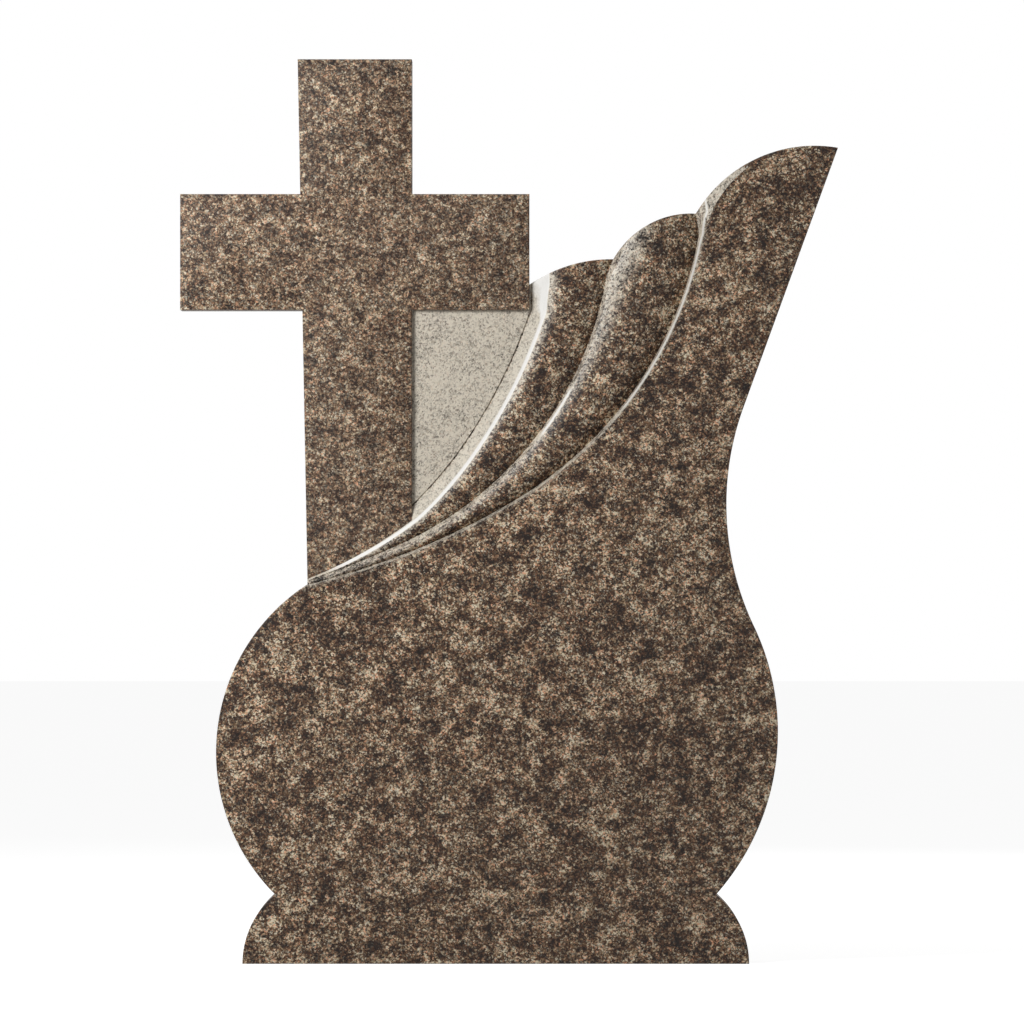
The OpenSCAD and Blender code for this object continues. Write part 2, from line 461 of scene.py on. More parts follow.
@dataclass
class Facet:
    """Facet that rounds a lobe's tip, widest at the notch on its left.

    Args:
        top: the lobe's top.
        crest: depth of the lobe's crest below the front face.
        width: width of the facet at the notch.
        run: share of the top that it follows.
        slope: its fall for each unit of its width.
        power: above 1, it narrows faster near the notch.
        end: how far beyond the outline it ends.
        reach: distance from the top beyond which there is no facet.
        steps: steps along it.
        tries: how often its inner edge is corrected for the surface that it cuts.
    """

    top: Bow
    crest: float
    width: float
    run: float
    slope: float = 0.8
    power: float = 1.3
    end: float = 0.001
    reach: float = 0.06
    steps: int = 30
    tries: int = 6

    def __post_init__(self) -> None:
        """Works out the arc that the facet follows."""
        self.centre, self.radius = self.top.centre, self.top.radius
        self.first = bearing(self.centre, self.top.left)
        self.last = bearing(self.centre, self.top.right)

    def width_at(self, share: float) -> float:
        """Width at a share of the facet's run."""
        return self.width * (1 - share) ** self.power - self.end * share

    def level(self, place: Plan) -> float:
        """Level of the facet at a place, or infinity away from it.

        Args:
            place: a point in plan.

        Returns:
            The level, negative below the front face.
        """
        away = place - self.centre
        share = (math.atan2(away.y, away.x) - self.first) / ((self.last - self.first) * self.run)
        if not -SLACK <= share <= 1 or abs(away.length - self.radius) >= self.reach:
            return math.inf
        share = min(1.0, max(0.0, share))
        return -self.crest - (self.width_at(share) + away.length - self.radius) * self.slope

    def inner_edge(self, surface: Callable[[Plan], float]) -> Path:
        """Line where the facet meets the lobe's surface.

        Args:
            surface: gives the level of the relief at a place.

        Returns:
            Points along the line, from the notch.
        """
        line = []
        for i in range(self.steps + 1):
            share = i / self.steps
            angle = mix(self.first, self.last, share * self.run)
            now = self.width_at(share)
            reach = self.radius - now
            for _ in range(self.tries):
                level = min(0.0, surface(polar(self.centre, reach, angle)))
                reach = self.radius - now - (level + self.crest) / self.slope
            line.append(polar(self.centre, reach, angle))
        return line


@dataclass(frozen=True)
class EdgeLook:
    """Where the chisel has left a lobe's edge pale, and where highlight is painted on the lobe's shoulder
    beside it. Shares run from its root to its notch.

    Args:
        slope: paleness of the sloping edge.
        line: paleness of the line along its arris.
        line_w: width of that line.
        line_top_w: its width at the top.
        fade_in: shares over which the line comes up.
        fade_out: shares over which it dies away.
        shoulder: paleness of the painted highlight on the shoulder beside the arris.
        shoulder_w: width over which that dies away.
        broad_from: share from which the painted highlight on the shoulder widens.
        top: paleness of the painted highlight at the top.
        top_w: its width there.
    """

    slope: float
    line: float
    line_w: float
    line_top_w: float
    fade_in: Size
    fade_out: Size
    shoulder: float
    shoulder_w: float
    broad_from: float
    top: float
    top_w: float


NEVER = (1.5, 2.0)  # shares that an edge doesn't reach
# Each edge's pale slope and arris line, and the painted highlight on its shoulder and top
LOOKS = (
    EdgeLook(
        slope=0.86, line=1.0, line_w=0.0045, line_top_w=0.03, fade_in=(-0.1, 0.05), fade_out=NEVER,
        shoulder=0.45, shoulder_w=0.009, broad_from=0.4, top=0.55, top_w=0.016,
    ),
    EdgeLook(
        slope=0.45, line=1.0, line_w=0.003, line_top_w=0.003, fade_in=(0.36, 0.47), fade_out=(0.58, 0.68),
        shoulder=0.36, shoulder_w=0.009, broad_from=0.5, top=0.62, top_w=0.034,
    ),
    EdgeLook(
        slope=0.5, line=0.98, line_w=0.002, line_top_w=0.0026, fade_in=(0.3, 0.5), fade_out=NEVER,
        shoulder=0.2, shoulder_w=0.004, broad_from=0.7, top=0.35, top_w=0.008,
    ),
)
LINE_FADE = (0.5, 1.5)  # shares of a line's width between which it dies away


@dataclass
class Carving:
    """The wing's relief: three lobes whose sloping edges sweep up from one root."""

    outline: Outline
    root_gap: float = 0.004
    cross_level: float = 0.012
    panel_level: float = 0.018
    lobe_levels: tuple[float, float] = (0.008, 0.004)
    lobe_rise: float = 0.005
    lobe_fall: float = 0.013
    rise_power: float = 2.2
    fall_power: float = 1.7
    full_lobe_w: float = 0.076
    crest_at: float = 0.42
    edge_start: Three = (24.5, 19.0, 13.5)
    edge_first_r: Three = (0.468, 1.300, 0.914)
    edge_first_len: Three = (0.250, 0.120, 0.270)
    edge_turn: tuple[Size, Size, Size] = ((0.004, -0.030), (-0.008, -0.020), (0.004, -0.025))
    edge_end: tuple[Size, Size, Size] = ((0.0035, 0.0), (0.0, 0.0), (0.0, 0.0))
    edge_w: Three = (0.016, 0.004, 0.003)
    edge_top_w: Three = (0.020, 0.007, 0.014)
    root_slope: float = 0.6
    facet_w: Three = (0.010, 0.014, 0.017)
    facet_run: Three = (0.6, 0.62, 0.72)
    taper: float = 0.150
    flare: float = 0.040
    run_in: float = 0.007
    overrun: float = 0.046
    proud: float = 0.005  # how far the relief's last line stands above the front face
    scribe_away: float = 0.0016
    scribe_w: float = 0.0026
    scribe_depth: float = 0.0016
    scribe_parts: Size = (0.1, 0.2)  # shares of its climb over which it leaves the foot of the slope
    # Dashes of painted shade darken the scribed groove at the foot of the first slope
    dash_length: float = 0.012
    dash_fade: Size = (-0.25, 0.1)  # noise over which a dash comes up
    dash_shade: float = 0.7
    arris_w: float = 0.0016
    line_widens: float = 0.86
    facet_pale: float = 0.7
    rows: int = 260
    row_crowding: float = 1.2  # above 1, the rows stand closer together towards the notches
    across: int = 18
    slope_share: float = 0.9  # most of a slope that the lines beside its arris take
    beyond: Three = (0.002, 0.005, 0.010)  # lines of the mesh past the last arris
    line_parts: Three = (0.5, 1.0, 1.5)  # lines on a slope, in widths of its pale line
    arris_parts: Size = (0.6, 1.5)  # lines on the shoulder, in widths of an arris

    def __post_init__(self) -> None:
        """Lays out the edges, the rows of the relief and the surface that they span."""
        o = self.outline
        self.edges = []
        for k, notch in enumerate((o.notch_1, o.notch_2, o.notch_3)):
            edge = Edge(
                root=o.root + Vector((0, (2 - k) * self.root_gap)),
                heading=math.radians(self.edge_start[k]),
                first_r=self.edge_first_r[k],
                first_len=self.edge_first_len[k],
                turn=notch + Vector(self.edge_turn[k]),
                notch=notch + Vector(self.edge_end[k]),
                width=self.edge_w[k],
                top_width=self.edge_top_w[k],
            )
            self.edges.append(edge)
        self.table = [self.row(1 - (1 - i / self.rows) ** self.row_crowding) for i in range(self.rows + 1)]
        self.columns = len(self.table[0])
        points = []
        for row in self.table:
            left = Vector((-1, row[0].y, row[0].z))
            right = row[-1] + (row[-1] - row[-2]).xy.normalized().to_3d()
            points += [left, *row, right]
        wide = self.columns + 2
        faces = []
        for i in range(self.rows):
            a, b = i * wide, (i + 1) * wide
            faces += [(a + j, a + j + 1, b + j + 1, b + j) for j in range(wide - 1)]
        self.tree = BVHTree.FromPolygons(points, faces)
        self.slopes = (1, self.across + 2, 2 * self.across + 3)
        self.arrises = [line_tree(self.column(j)) for j in self.slopes]
        self.scribe = [row[0].xy for row in self.table]
        for i, row in enumerate(self.table):
            away = (row[0] - row[1]).xy.normalized()
            climb = (row[0].y - o.root.y) / (o.notch_1.y - o.root.y)
            self.scribe[i] += away * self.scribe_away * smooth(*self.scribe_parts, climb)
        self.scribe_tree = line_tree(self.scribe)
        crests = (*self.lobe_levels, 0.0)
        self.facets = [Facet(*each) for each in zip(o.lobe_tops, crests, self.facet_w, self.facet_run)]

    def slope_w(self, edge: Edge, along: float) -> float:
        """Width of an edge's slope, which grows from the root and flares below the notch.

        Args:
            edge: the edge.
            along: length from its root.

        Returns:
            The width.
        """
        grown = min(1.0, max(0.0, along) / self.taper)
        flare = max(0.0, 1 - max(0.0, edge.length - along) / self.flare)
        spread = (edge.top_width - edge.width) * flare * flare
        return self.root_gap * self.root_slope * (1 - grown) + edge.width * grown + spread

    def lobe_level(self, crest: float, share: float, width: float) -> float:
        """Level of a lobe's surface.

        Args:
            crest: depth of its crest below the front face.
            share: place across the lobe, from 0 at its left edge.
            width: width of the lobe there.

        Returns:
            The level, negative below the front face.
        """
        left = max(0.0, (self.crest_at - share) / self.crest_at) ** self.rise_power
        right = max(0.0, (share - self.crest_at) / (1 - self.crest_at)) ** self.fall_power
        return -crest - width / self.full_lobe_w * (self.lobe_rise * left + self.lobe_fall * right)

    def strip(self, crest: float, start: Plan, end: Plan) -> list[Vector]:
        """Points across one lobe.

        Args:
            crest: depth of its crest below the front face.
            start: its left edge.
            end: its right edge.

        Returns:
            The points, with their level as z.
        """
        width = (end - start).length
        points = []
        for j in range(self.across + 1):
            place = start.lerp(end, j / self.across)
            points.append(Vector((*place, self.lobe_level(crest, j / self.across, width))))
        return points

    def row(self, share: float) -> list[Vector]:
        """One row of the relief, from the first lobe's foot to clear of the front face.

        Args:
            share: how far up the edges it lies, from 0 to 1.

        Returns:
            The points, with their level as z.
        """
        feet, tops = [], []
        for edge in self.edges:
            along = -self.run_in + share * (edge.length + self.run_in + self.overrun)
            foot, heading = edge.at(along)
            feet.append(foot)
            tops.append(foot - self.slope_w(edge, along) * leftward(heading))
        first = self.strip(self.lobe_levels[0], tops[0], feet[1])
        second = self.strip(self.lobe_levels[1], tops[1], feet[2])
        clear = tops[2] + (tops[2] - feet[2]) * self.proud / -second[-1].z
        return [
            Vector((*feet[0], -self.panel_level)),
            *first,
            *second,
            Vector((*tops[2], 0)),
            Vector((*clear, self.proud)),
        ]

    def column(self, index: int) -> Path:
        """One line of the relief in plan, from the root upwards."""
        return [row[index].xy for row in self.table]

    def waterline(self, depth: float) -> Path:
        """Line on the first lobe's slope that lies at a depth, from the root upwards.

        Args:
            depth: the level, negative below the front face.

        Returns:
            Points along the line.
        """
        line = []
        for row in self.table:
            share = (depth - row[0].z) / (row[1].z - row[0].z)
            line.append(row[0].xy.lerp(row[1].xy, share))
        return line

    def sheet(self, place: Plan) -> tuple[float, int]:
        """Level of the relief at a place, and the column of the table that holds it.

        Args:
            place: a point in plan.

        Returns:
            The level and the column, or infinity and -1 where there is no relief.
        """
        for dx, dy in NUDGES:
            spot, _, index, _ = self.tree.ray_cast(Vector((place.x + dx, place.y + dy, 1)), DOWN)
            if index is not None:
                return spot.z, index % (self.columns + 1)
        return math.inf, -1

    def facet(self, place: Plan) -> float:
        """Level of the facet that rounds a lobe's tip, or infinity away from them."""
        return min(facet.level(place) for facet in self.facets)

    def level(self, place: Plan, in_cross: bool) -> float:
        """Level of the stone's front at a place.

        Args:
            place: a point in plan.
            in_cross: whether it is taken as part of the cross.

        Returns:
            The level, negative below the front face.
        """
        sheet, _ = self.sheet(place)
        if in_cross:
            above = sheet == math.inf and place.y > self.table[-1][0].y
            return -self.cross_level if above else max(min(0.0, sheet), -self.cross_level)
        return min(0.0, sheet, self.facet(place))

    def finish(self, place: Plan, in_cross: bool) -> Finish:
        """Finish of the stone's front at a place.

        Args:
            place: a point in plan.
            in_cross: whether it is taken as part of the cross.

        Returns:
            The finish.
        """
        sheet, column = self.sheet(place)
        if in_cross and (column < 0 or sheet < -self.cross_level):
            return Finish.SATIN
        if column < 0:
            return Finish.POLISHED
        if self.facet(place) < min(0.0, sheet):
            return Finish.DRESSED
        if column == 0:
            return Finish.PECKED
        return Finish.DRESSED if column in self.slopes else Finish.POLISHED

    def bruise_and_painted_light(self, place: Plan, centre: Plan, in_cross: bool) -> float:
        """How pale the chisel has left the front at a corner of a face, with painted highlight on the lobes'
        shoulders and painted shade in the scribed groove.

        Args:
            place: the corner.
            centre: the middle of its face.
            in_cross: whether the face is part of the cross.

        Returns:
            The paleness from 0 to 1, or a negative value where shade is painted into the scribed groove on
            the panel.
        """
        sheet, column = self.sheet(centre)
        spot = place.to_3d()
        if column < 0 or (in_cross and sheet < -self.cross_level):
            return 0.0
        if column == 0:
            # In the scribed groove on the panel, dashes of painted shade
            near = 1 - self.scribe_tree.find_nearest(spot)[3] / (self.scribe_w / 2)
            painted_shade = smooth(*self.dash_fade, noise.noise(spot / self.dash_length))
            return -self.dash_shade * painted_shade * max(0.0, near)
        pale = 0.0
        for edge, arris, slope, look in zip(self.edges, self.arrises, self.slopes, LOOKS):
            if column < slope or column > slope + self.across + 1:
                continue
            away = arris.find_nearest(spot)[3]
            climb = (place.y - edge.root.y) / (edge.notch.y - edge.root.y)
            crisp = smooth(*look.fade_in, climb) * (1 - smooth(*look.fade_out, climb))
            broad = smooth(look.broad_from, 1.0, climb)
            widening = smooth(self.line_widens, 1.0, climb)
            reach = mix(look.line_w, look.line_top_w, widening) if column == slope else self.arris_w
            line = look.line * crisp * (1 - smooth(*(part * reach for part in LINE_FADE), away))
            if column == slope:
                pale = max(pale, line, look.slope)
                continue
            # Past the slope, a painted highlight lies on the lobe's rounded shoulder beside the arris
            reach = mix(look.shoulder_w, look.top_w, broad)
            painted_highlight = mix(look.shoulder, look.top, broad) * (1 - smooth(0.0, reach, away))
            pale = max(pale, line, painted_highlight)
        if self.facet(centre) < min(0.0, sheet):
            pale = max(pale, self.facet_pale)
        return pale

    def slope_line(self, index: int, away: float) -> Path:
        """Line on a sloping edge that runs at a distance from its arris.

        Args:
            index: column of the arris.
            away: the distance.

        Returns:
            Points along the line.
        """
        line = []
        for row in self.table:
            arris, foot = row[index].xy, row[index - 1].xy
            line.append(arris.lerp(foot, min(self.slope_share, away / (foot - arris).length)))
        return line

    def creases(self) -> list[Path]:
        """Lines of the relief that the mesh follows.

        Returns:
            The lines, which may run on past the outline.
        """
        lines = [self.column(j) for j in range(self.columns - 1)]
        lines += [inset(self.column(self.columns - 2), -away, False) for away in self.beyond]
        half = self.scribe_w / 2
        lines += [inset(self.scribe, away, False) for away in (-half, 0.0, half)]
        for index, look in zip(self.slopes, LOOKS):
            lines += [self.slope_line(index, part * look.line_w) for part in self.line_parts]
            lines += [inset(self.column(index), -part * self.arris_w, False) for part in self.arris_parts]
        lines.append(self.waterline(-self.cross_level))
        lines += [facet.inner_edge(lambda place: self.sheet(place)[0]) for facet in self.facets]
        return lines


@dataclass
class Stone:
    """The whole stone as one closed mesh.

    Args:
        front: where the front face stands.
        back: where the back stands.
        outline: the stone's outline.
        carving: the relief of its front.
    """

    front: float
    back: float
    outline: Outline
    carving: Carving
    arris: float = 0.0015
    back_arris: float = 0.003
    arris_turns: Three = (30, 60, 90)
    pit_spacing: float = 0.0024
    pit_scatter: float = 0.35
    pit_size: float = 0.004
    pit_depth: float = 0.0005
    pit_octave: Size = (0.6, 2.3)  # weight and fineness of the second roughness
    pit_seed: int = 7
    wall_clear: float = 0.003
    waist_level: float = 0.032
    side_levels: Size = (-0.055, -0.078)
    crossing: float = 3e-5  # within this, a line that passes a point meets it
    crisp_from: float = math.radians(24)  # a sharper turn is shaded as an arris

    def build(self) -> bpy.types.Object:
        """Makes the mesh and its object.

        Returns:
            The stone, with a material index for each face.
        """
        rim = self.outline.closed()
        inner = self.outline.cross_inner()
        wall = straight(inner, self.outline.spacing)
        corners = self.outline.cross()
        cross = [*corners, self.outline.foot_right, *inner[1:-1]]
        self._rim_tree = line_tree([*rim, rim[0]])
        self._wall_tree = line_tree(wall)
        self._cross = self._area_tree(cross)
        self._slab = self._area_tree(rim)

        loops = [rim]
        lines = [wall]
        for depth in self._ring_depths(self.arris):
            loops.append(inset(rim, depth, True))
            lines.append(inset(wall, depth, False))
        for line in self.carving.creases():
            lines += self._trim(line)
        places, faces = self._mesh(loops, lines, self._pits())
        log.info("front: %d points, %d triangles", len(places), len(faces))
        return self._assemble(places, faces)

    def dress(self, stone: bpy.types.Object) -> None:
        """Gives the stone its finishes, in the order of its material slots."""
        grain, colours = grain_group(), colour_group()
        for finish in Finish:
            name = f"granite_{finish.name.lower()}"
            stone.data.materials.append(FINISHES[finish].material(name, grain, colours))

    def _ring_depths(self, radius: float) -> list[float]:
        """How far in the rings of a rounded arris lie."""
        return [radius * (1 - math.cos(math.radians(turn))) for turn in self.arris_turns]

    def _mesh(self, loops: list[Path], lines: list[Path], loose: Path) -> tuple[Path, list[list[int]]]:
        """Triangles inside the outline that follow the given paths.

        Args:
            loops: closed paths, the outline first.
            lines: open paths.
            loose: single places.

        Returns:
            The places, and three of them for each triangle.
        """
        points: Path = []
        edges: list[tuple[int, int]] = []
        for path in (*loops, *lines):
            first = len(points)
            points.extend(path)
            edges.extend((first + i, first + i + 1) for i in range(len(path) - 1))
            if any(path is loop for loop in loops):
                edges.append((len(points) - 1, first))
        points.extend(loose)
        # Whole micrometres, so paths that share a corner or a side meet exactly
        points = [Vector((round(point.x, DIGITS), round(point.y, DIGITS))) for point in points]
        places, _, faces, _, _, _ = geometry.delaunay_2d_cdt(points, edges, [], 0, self.crossing, False)
        return places, [face for face in faces if self._within(self._centre(places, face), self._slab)]

    @staticmethod
    def _centre(places: Path, face: list[int]) -> Plan:
        """Middle of a triangle."""
        return sum((places[i] for i in face), Vector((0, 0))) / 3

    @staticmethod
    def _area_tree(corners: Path) -> BVHTree:
        """Tree that tells whether a place lies inside a closed path."""
        return BVHTree.FromPolygons([p.to_3d() for p in corners], [list(range(len(corners)))])

    @staticmethod
    def _within(place: Plan, area: BVHTree) -> bool:
        """Whether a place lies inside an area."""
        return area.ray_cast(Vector((place.x, place.y, 1)), DOWN)[0] is not None

    def _trim(self, line: Path) -> list[Path]:
        """The parts of a line that lie inside the outline.

        Args:
            line: the points.

        Returns:
            Each part, with the first point past the outline.
        """
        parts: list[Path] = [[]]
        for point in line:
            if self._within(point, self._slab):
                parts[-1].append(point)
            elif parts[-1]:
                parts[-1].append(point)
                parts.append([])
        return [part for part in parts if len(part) > 1]

    def _pits(self) -> Path:
        """Scattered places on the panel, for its pecked surface.

        Returns:
            The places.
        """
        noise.seed_set(self.pit_seed)
        o = self.outline
        places = []
        step = self.pit_spacing
        for i in range(int((o.arm_end_x - o.foot_right.x) / step)):
            for j in range(int((o.arms_up - o.root.y) / step)):
                place = Vector((o.foot_right.x + i * step, o.root.y + j * step))
                place += self.pit_scatter * step * noise.random_vector().xy
                if not self._within(place, self._cross) and self.carving.sheet(place)[1] == 0:
                    places.append(place)
        return places

    def _round(self, place: Plan, proud: bool) -> float:
        """Drop of the rounded arris at a place, the wall of the cross taken in where it is proud.

        Args:
            place: a point in plan.
            proud: whether it is on the face of the cross, above the panel.

        Returns:
            The drop.
        """
        spot = place.to_3d()
        away = self._rim_tree.find_nearest(spot)[3]
        if proud:
            away = min(away, self._wall_tree.find_nearest(spot)[3])
        return rounded(away, self.arris)

    def _peck(self, place: Plan) -> float:
        """Depth of the pecked surface at a place on the panel.

        Args:
            place: a point in plan.

        Returns:
            The height to add, mostly negative in the scribed line.
        """
        spot, carving = place.to_3d(), self.carving
        near_wall = min(1.0, self._wall_tree.find_nearest(spot)[3] / self.wall_clear)
        away = carving.scribe_tree.find_nearest(spot)[3]
        weight, fineness = self.pit_octave
        pits = spot / self.pit_size
        rough = noise.noise(pits) + weight * noise.noise(pits * fineness)
        scribed = max(0.0, 1 - 2 * away / carving.scribe_w) * carving.scribe_depth
        return near_wall * (self.pit_depth * rough - scribed)

    def _assemble(self, places: Path, faces: list[list[int]]) -> bpy.types.Object:
        """Stands the front up, adds the walls of the cross and the sides, and closes the back.

        Args:
            places: the points of the front in plan.
            faces: its triangles.

        Returns:
            The stone's object.
        """
        keys: dict[tuple[int, int], int] = {}
        points: list[Vector] = []
        heights: dict[tuple[int, bool], float] = {}

        def height(index: int, in_cross: bool) -> float:
            """Level of a point of the front on one side of the wall of the cross.

            Args:
                index: the point.
                in_cross: whether it is taken as part of the cross.

            Returns:
                The level, negative below the front face.
            """
            key = (index, in_cross)
            if key not in heights:
                place = places[index]
                level = self.carving.level(place, in_cross)
                if not in_cross and abs(level + self.carving.panel_level) < 10 * SLACK:
                    level += self._peck(place)
                proud = in_cross and level < SLACK - self.carving.cross_level
                heights[key] = level - self._round(place, proud)
            return heights[key]

        def vertex(index: int, level: float) -> int:
            """Index of the point that stands at a place and level."""
            key = (index, round(level * MICROMETRES))
            if key not in keys:
                keys[key] = len(points)
                points.append(self._stand(places[index], level))
            return keys[key]

        bruises_and_painted_light: list[float] = []
        polygons: list[list[int]] = []
        finishes: list[int] = []
        sides: dict[tuple[int, int], list[tuple[bool, int, int]]] = {}
        for face in faces:
            centre = self._centre(places, face)
            in_cross = self._within(centre, self._cross)
            polygons.append([vertex(i, height(i, in_cross)) for i in face])
            bruises_and_painted_light += [self.carving.bruise_and_painted_light(places[i], centre, in_cross) for i in face]
            finishes.append(self.carving.finish(centre, in_cross))
            for a, b in zip(face, face[1:] + face[:1]):
                sides.setdefault((min(a, b), max(a, b)), []).append((in_cross, a, b))

        lows: dict[int, set[int]] = {}
        for (index, _), level in heights.items():
            lows.setdefault(index, set()).add(round(level * MICROMETRES))

        def between(index: int, high: float) -> list[int]:
            """Points at a place from a level down to the lowest one there."""
            below = [level for level in lows[index] if level <= round(high * MICROMETRES)]
            return [vertex(index, level / MICROMETRES) for level in sorted(below, reverse=True)]

        base: dict[int, int] = {}

        def base_vertex(index: int) -> int:
            """Point of the sides below every level of the front."""
            if index not in base:
                base[index] = len(points)
                points.append(self._stand(places[index], -self.waist_level))
            return base[index]

        for pair in sides.values():
            in_cross, a, b = pair[0]
            if len(pair) == 1:
                down_a = between(a, height(a, in_cross))
                down_b = between(b, height(b, in_cross))
                polygons.append([*down_a, base_vertex(a), base_vertex(b), *reversed(down_b)])
                finishes.append(Finish.HONED)
            elif pair[0][0] != pair[1][0]:
                if not in_cross:
                    in_cross, a, b = pair[1]
                loop = []
                for index, order in ((a, 1), (b, -1)):
                    levels = [height(index, True), height(index, False)]
                    loop += [vertex(index, level) for level in levels[::order]]
                polygon = list(dict.fromkeys(loop))
                if len(polygon) > 2:
                    polygons.append(polygon)
                    finishes.append(Finish.HONED)

        after = {a: b for pair in sides.values() if len(pair) == 1 for _, a, b in pair}
        ring = [next(iter(after))]
        while after[ring[-1]] != ring[0]:
            ring.append(after[ring[-1]])
        self._close(points, polygons, finishes, [places[i] for i in ring], [base[i] for i in ring])

        mesh = bpy.data.meshes.new("headstone_stone")
        mesh.from_pydata(points, [], polygons)
        mesh.polygons.foreach_set("material_index", [int(f) for f in finishes])
        # This attribute holds the chisel's paleness, painted highlights on the lobes' shoulders and, below
        # zero, painted shade in the scribed groove
        values = mesh.attributes.new("bruise_and_painted_light", "FLOAT", "CORNER").data
        values.foreach_set("value", bruises_and_painted_light + [0.0] * (len(values) - len(bruises_and_painted_light)))
        stone = bpy.data.objects.new("headstone_stone", mesh)
        bpy.context.scene.collection.objects.link(stone)
        bpy.ops.object.select_all(action="DESELECT")
        bpy.context.view_layer.objects.active = stone
        stone.select_set(True)
        bpy.ops.object.mode_set(mode="EDIT")
        bpy.ops.mesh.select_all(action="SELECT")
        bpy.ops.mesh.normals_make_consistent(inside=False)
        bpy.ops.object.mode_set(mode="OBJECT")
        bpy.ops.object.shade_smooth_by_angle(angle=self.crisp_from)
        return stone

    def _stand(self, place: Plan, level: float) -> Vector:
        """A place in plan stood up, facing -Y."""
        return Vector((place.x, self.front - level, place.y))

    def _close(
        self,
        points: list[Vector],
        polygons: list[list[int]],
        finishes: list[int],
        rim: Path,
        base: list[int],
    ) -> None:
        """Draws the sides out to the back, rounds its edge and closes it.

        Args:
            points: the mesh's points, which grow.
            polygons: its faces, which grow.
            finishes: the finish of each face, which grow.
            rim: the outline.
            base: the points of the sides below the outline.
        """
        thickness = self.back - self.front
        above = base
        for level in (*self.side_levels, self.back_arris - thickness):
            here = list(range(len(points), len(points) + len(rim)))
            points.extend(self._stand(place, level) for place in rim)
            for i in range(len(rim)):
                polygons.append([above[i - 1], here[i - 1], here[i], above[i]])
                finishes.append(Finish.HONED)
            above = here
        rings = [inset(rim, depth, True) for depth in self._ring_depths(self.back_arris)]
        places, faces = self._mesh([rim, *rings], [], [])
        tree = line_tree([*rim, rim[0]])
        index_of = dict(enumerate(above))
        for i in range(len(rim), len(places)):
            index_of[i] = len(points)
            drop = rounded(tree.find_nearest(places[i].to_3d())[3], self.back_arris)
            points.append(self._stand(places[i], drop - thickness))
        for face in faces:
            polygons.append([index_of[i] for i in face])
            finishes.append(Finish.SAWN)


# Materials


class Nodes:
    """A node tree with short ways to add and join nodes."""

    def __init__(self, tree: Tree) -> None:
        """Takes the tree to build in."""
        self.tree = tree

    def add(self, kind: str, **values: object) -> bpy.types.Node:
        """Adds a node.

        Args:
            kind: its type, without the leading ShaderNode.
            values: attributes to set on it.

        Returns:
            The node.
        """
        node = self.tree.nodes.new("ShaderNode" + kind if not kind.startswith("Node") else kind)
        for name, value in values.items():
            setattr(node, name, value)
        return node

    def put(self, socket: Socket, value: object) -> None:
        """Sets an input to a value, or links it to a socket."""
        if isinstance(value, Socket):
            self.tree.links.new(value, socket)
        else:
            socket.default_value = value

    def end(self, kind: str, surface: Socket) -> None:
        """Adds the output of the kind and links it to a shader."""
        self.put(self.add(kind).inputs[0], surface)

    def feed(self, node: bpy.types.Node, **inputs: object) -> bpy.types.Node:
        """Sets or links a node's inputs by name, with _ for a space.

        Args:
            node: the node.
            inputs: a value or a socket for each name.

        Returns:
            The node.
        """
        for name, value in inputs.items():
            self.put(node.inputs[name.replace("_", " ")], value)
        return node

    def sums(self, operation: str, *values: object, clamp: bool = False) -> Socket:
        """A Math node of the operation on numbers or sockets.

        Args:
            operation: the operation.
            values: its numbers or sockets, in order.
            clamp: whether the result stays from 0 to 1.

        Returns:
            The result.
        """
        node = self.add("Math", operation=operation, use_clamp=clamp)
        for socket, value in zip(node.inputs, values):
            self.put(socket, value)
        return node.outputs[0]

    def blend(self, factor: object, first: object, second: object, how: str = "MIX") -> Socket:
        """A colour mix of two colours.

        Args:
            factor: share of the second.
            first: the first colour.
            second: the second colour.
            how: the blend.

        Returns:
            The mixed colour.
        """
        node = self.add("Mix", data_type="RGBA", blend_type=how)
        for index, value in ((0, factor), (6, first), (7, second)):
            self.put(node.inputs[index], value)
        return node.outputs[2]


def shading(name: str) -> tuple[bpy.types.Material, Nodes]:
    """Makes a material with an empty node tree, and the tree's builder.

    Args:
        name: name of the material.

    Returns:
        The material and the builder.
    """
    material = bpy.data.materials.new(name)
    material.use_nodes = True
    material.node_tree.nodes.clear()
    return material, Nodes(material.node_tree)


def new_group(name: str, inputs: dict[str, tuple[str, object]], outputs: dict[str, str]) -> tuple:
    """Makes a shader node group with named sockets.

    Args:
        name: name of the group.
        inputs: socket type and default value of each input.
        outputs: socket type of each output.

    Returns:
        The group, its builder, its input node and its output node.
    """
    group = bpy.data.node_groups.new(name, "ShaderNodeTree")
    for label, (kind, value) in inputs.items():
        socket = group.interface.new_socket(label, in_out="INPUT", socket_type=kind)
        if value is not None:
            socket.default_value = value
    for label, kind in outputs.items():
        group.interface.new_socket(label, in_out="OUTPUT", socket_type=kind)
    nodes = Nodes(group)
    return group, nodes, nodes.add("NodeGroupInput"), nodes.add("NodeGroupOutput")


def rgb(red: int, green: int, blue: int) -> Colour:
    """A colour from display values of 0 to 255.

    Args:
        red: its red.
        green: its green.
        blue: its blue.

    Returns:
        The linear colour, opaque.
    """
    values = []
    for value in (red, green, blue):
        share = value / 255
        values.append(share / 12.92 if share <= 0.04045 else ((share + 0.055) / 1.055) ** 2.4)
    return (*values, 1.0)


CRYSTAL = 0.0033  # width of a middling crystal
CRYSTALS = ((1.0, 0.31), (0.5, 0.2), (2.0, 0.49))  # how fine each size is, and its weight in the tone
WOBBLE = 0.0007  # how far the crystals' borders stray
WOBBLE_SCALE = 420.0
CLOUD_SCALE = 0.16
CLOUD_GAIN = 1.6


